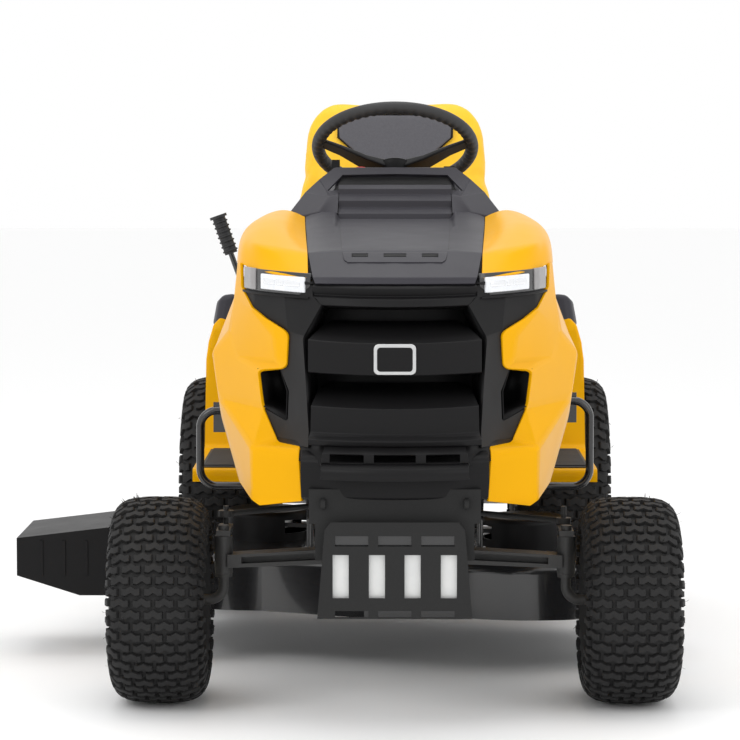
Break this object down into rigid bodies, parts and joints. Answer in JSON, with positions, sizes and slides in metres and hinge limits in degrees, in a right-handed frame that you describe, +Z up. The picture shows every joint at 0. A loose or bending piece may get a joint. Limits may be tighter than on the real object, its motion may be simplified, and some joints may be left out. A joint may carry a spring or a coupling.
{
  "type": "riding lawn mower",
  "caption": "Garden tractor with a sloping hood, seat and steering wheel, a twin-lobe mower deck between the axles and a side discharge chute.",
  "frame": {"origin": "on the ground under the middle of the machine's bounding box", "axes": "+Z up, -Y is the front of the machine and +X is the driver's left"},
  "size_m": [1.3059, 1.814, 1.1245],
  "materials": {
    "yellow_body": "gloss",
    "dark_cover": "satin",
    "black_plastic": "matte",
    "lamp_lens": "clear",
    "black_paint": "gloss",
    "charcoal_paint": "satin",
    "cast_iron": "rough",
    "bare_steel": "zinc plated",
    "aluminium": "cast",
    "tyre_rubber": "matte",
    "belt_rubber": "matte",
    "rim_paint": "gloss",
    "seat_vinyl": "matte vinyl",
    "grip_rubber": "matte",
    "red_plastic": "gloss"
  },
  "bodies": {
    "root": {"frame_rails": "charcoal_paint", "bumper_plate": "charcoal_paint", "hitch_plate": "charcoal_paint", "engine_block": "aluminium", "engine_shroud": "black_plastic", "muffler": "bare_steel", "battery": "black_plastic", "fuel_tank": "black_plastic", "transaxle": "aluminium", "dash_tower": "dark_cover", "fender_body": "yellow_body"},
    "hood": {"hood_top_cover": "dark_cover", "hood_shoulders": "yellow_body", "hood_side_panels": "yellow_body", "hood_grille": "black_plastic", "headlight_lenses": "lamp_lens"},
    "front_axle": {"front_axle": "cast_iron"},
    "spindle_left": {"spindle_left": "black_paint"},
    "spindle_right": {"spindle_right": "black_paint"},
    "drag_link_left": {"drag_link_left": "black_paint"},
    "drag_link_right": {"drag_link_right": "black_paint"},
    "front_wheel_left": {"front_rim_left": "rim_paint", "front_tyre_left": "tyre_rubber"},
    "front_wheel_right": {"front_rim_right": "rim_paint", "front_tyre_right": "tyre_rubber"},
    "rear_wheel_left": {"rear_rim_left": "rim_paint", "rear_tyre_left": "tyre_rubber", "rear_axle_left": "bare_steel"},
    "rear_wheel_right": {"rear_rim_right": "rim_paint", "rear_tyre_right": "tyre_rubber", "rear_axle_right": "bare_steel"},
    "steering_wheel": {"steering_wheel": "dark_cover", "steering_shaft": "bare_steel"},
    "sector_gear": {"sector_gear": "bare_steel"},
    "seat_bracket": {"seat_bracket": "black_paint"},
    "seat": {"seat_pan": "black_plastic", "seat_cushion": "seat_vinyl", "seat_back": "seat_vinyl"},
    "lift_lever": {"lift_lever": "black_paint", "lift_grip": "grip_rubber"},
    "deck": {"deck_shell": "black_paint", "deck_hangers": "black_paint", "deck_belt": "belt_rubber", "belt_covers": "black_plastic"},
    "blade_left": {"blade_left": "bare_steel", "mandrel_left": "bare_steel"},
    "blade_right": {"blade_right": "bare_steel", "mandrel_right": "bare_steel"},
    "gauge_wheel_left": {"gauge_wheel_left": "black_plastic"},
    "gauge_wheel_right": {"gauge_wheel_right": "black_plastic"},
    "discharge_chute": {"discharge_chute": "black_plastic"},
    "engine_pulley": {"engine_pulley": "bare_steel"},
    "brake_pedal": {"brake_pedal": "black_paint"},
    "forward_pedal": {"forward_pedal": "black_paint"},
    "reverse_pedal": {"reverse_pedal": "black_paint"},
    "ignition_key": {"ignition_key": "black_plastic"},
    "pto_knob": {"pto_knob": "red_plastic"},
    "throttle_lever": {"throttle_lever": "black_plastic"},
    "fuel_cap": {"fuel_cap": "black_plastic"}
  },
  "joints": [
    {"name": "hood_tilt", "type": "hinge", "parent": "root", "child": "hood", "pos_m": [0.107, -0.885, 0.405], "axis": [1, 0, 0], "range_deg": [0, 72]},
    {"name": "axle_roll", "type": "hinge", "parent": "root", "child": "front_axle", "pos_m": [0.107, -0.579, 0.288], "axis": [0, 1, 0], "range_deg": [-5, 5]},
    {"name": "steer_left", "type": "hinge", "parent": "front_axle", "child": "spindle_left", "pos_m": [0.423, -0.579, 0.309], "axis": [0, 0, 1], "range_deg": [-38, 38]},
    {"name": "steer_right", "type": "hinge", "parent": "front_axle", "child": "spindle_right", "pos_m": [-0.209, -0.579, 0.309], "axis": [0, 0, 1], "range_deg": [-38, 38]},
    {"name": "link_left_turn", "type": "hinge", "parent": "spindle_left", "child": "drag_link_left", "pos_m": [0.423, -0.494, 0.326], "axis": [0, 0, 1], "range_deg": [-38, 38]},
    {"name": "link_right_turn", "type": "hinge", "parent": "spindle_right", "child": "drag_link_right", "pos_m": [-0.209, -0.494, 0.339], "axis": [0, 0, 1], "range_deg": [-38, 38]},
    {"name": "sector_turn", "type": "hinge", "parent": "root", "child": "sector_gear", "pos_m": [0.107, -0.344, 0.353], "axis": [0, 0, 1], "range_deg": [-38, 38]},
    {"name": "steering_turn", "type": "hinge", "parent": "root", "child": "steering_wheel", "pos_m": [0.107, 0.081, 1.032], "axis": [0, 0.5, 0.866], "range_deg": [-144, 144]},
    {"name": "front_left_spin", "type": "hinge", "parent": "spindle_left", "child": "front_wheel_left", "pos_m": [0.539, -0.579, 0.1905], "axis": [1, 0, 0], "continuous": true},
    {"name": "front_right_spin", "type": "hinge", "parent": "spindle_right", "child": "front_wheel_right", "pos_m": [-0.325, -0.579, 0.1905], "axis": [1, 0, 0], "continuous": true},
    {"name": "rear_left_spin", "type": "hinge", "parent": "root", "child": "rear_wheel_left", "pos_m": [0.474, 0.651, 0.254], "axis": [1, 0, 0], "continuous": true},
    {"name": "rear_right_spin", "type": "hinge", "parent": "root", "child": "rear_wheel_right", "pos_m": [-0.26, 0.651, 0.254], "axis": [1, 0, 0], "continuous": true},
    {"name": "seat_tip", "type": "hinge", "parent": "root", "child": "seat_bracket", "pos_m": [0.107, 0.407, 0.69], "axis": [1, 0, 0], "range_deg": [0, 60]},
    {"name": "seat_slide", "type": "slide", "parent": "seat_bracket", "child": "seat", "axis": [0, 1, 0], "range_m": [-0.04, 0.06]},
    {"name": "deck_lift", "type": "slide", "parent": "root", "child": "deck", "axis": [0, 0, 1], "range_m": [-0.065, 0]},
    {"name": "lift_turn", "type": "hinge", "parent": "root", "child": "lift_lever", "pos_m": [0.107, 0.471, 0.446], "axis": [1, 0, 0], "range_deg": [0, 18.5]},
    {"name": "blade_left_spin", "type": "hinge", "parent": "deck", "child": "blade_left", "pos_m": [0.372, 0.001, 0.103], "axis": [0, 0, 1], "continuous": true},
    {"name": "blade_right_spin", "type": "hinge", "parent": "deck", "child": "blade_right", "pos_m": [-0.158, 0.121, 0.103], "axis": [0, 0, 1], "continuous": true},
    {"name": "engine_pulley_spin", "type": "hinge", "parent": "root", "child": "engine_pulley", "pos_m": [0.107, -0.449, 0.33], "axis": [0, 0, 1], "continuous": true},
    {"name": "gauge_left_spin", "type": "hinge", "parent": "deck", "child": "gauge_wheel_left", "pos_m": [0.607, -0.269, 0.132], "axis": [1, 0, 0], "continuous": true},
    {"name": "gauge_right_spin", "type": "hinge", "parent": "deck", "child": "gauge_wheel_right", "pos_m": [-0.313, -0.187, 0.132], "axis": [1, 0, 0], "continuous": true},
    {"name": "chute_swing", "type": "hinge", "parent": "deck", "child": "discharge_chute", "pos_m": [-0.453, 0.021, 0.232], "axis": [0, 1, 0], "range_deg": [0, 78], "stiffness_Nm_per_rad": 2, "springref_deg": -17.19},
    {"name": "brake_push", "type": "hinge", "parent": "root", "child": "brake_pedal", "pos_m": [0.257, -0.127, 0.349], "axis": [1, 0, 0], "range_deg": [0, 13], "stiffness_Nm_per_rad": 20, "springref_deg": -11.46},
    {"name": "forward_push", "type": "hinge", "parent": "root", "child": "forward_pedal", "pos_m": [-0.043, -0.127, 0.349], "axis": [1, 0, 0], "range_deg": [0, 13], "stiffness_Nm_per_rad": 20, "springref_deg": -11.46},
    {"name": "reverse_push", "type": "hinge", "parent": "root", "child": "reverse_pedal", "pos_m": [-0.043, -0.089, 0.349], "axis": [1, 0, 0], "range_deg": [0, 12], "stiffness_Nm_per_rad": 20, "springref_deg": -11.46},
    {"name": "key_turn", "type": "hinge", "parent": "root", "child": "ignition_key", "pos_m": [0.217, 0.015, 0.9555], "axis": [0, 0.4794, 0.8776], "range_deg": [0, 70]},
    {"name": "knob_pull", "type": "slide", "parent": "root", "child": "pto_knob", "axis": [0, 0.4794, 0.8776], "range_m": [0, 0.012]},
    {"name": "throttle_swing", "type": "hinge", "parent": "root", "child": "throttle_lever", "pos_m": [-0.013, 0.00445, 0.93619], "axis": [1, 0, 0], "range_deg": [-24, 24]},
    {"name": "cap_turn", "type": "hinge", "parent": "root", "child": "fuel_cap", "pos_m": [0.437, 0.561, 0.668], "axis": [0, 0, 1], "range_deg": [0, 120]}
  ],
  "couplings": [
    {"joint": "steer_right", "follows": "steer_left", "ratio": 1},
    {"joint": "link_left_turn", "follows": "steer_left", "ratio": -1},
    {"joint": "link_right_turn", "follows": "steer_left", "ratio": -1},
    {"joint": "sector_turn", "follows": "steer_left", "ratio": 1},
    {"joint": "steering_turn", "follows": "steer_left", "ratio": 3.7857},
    {"joint": "lift_turn", "follows": "deck_lift", "rad_per_m": -4.8332},
    {"joint": "blade_right_spin", "follows": "blade_left_spin", "ratio": 1},
    {"joint": "engine_pulley_spin", "follows": "blade_left_spin", "ratio": 1}
  ]
}
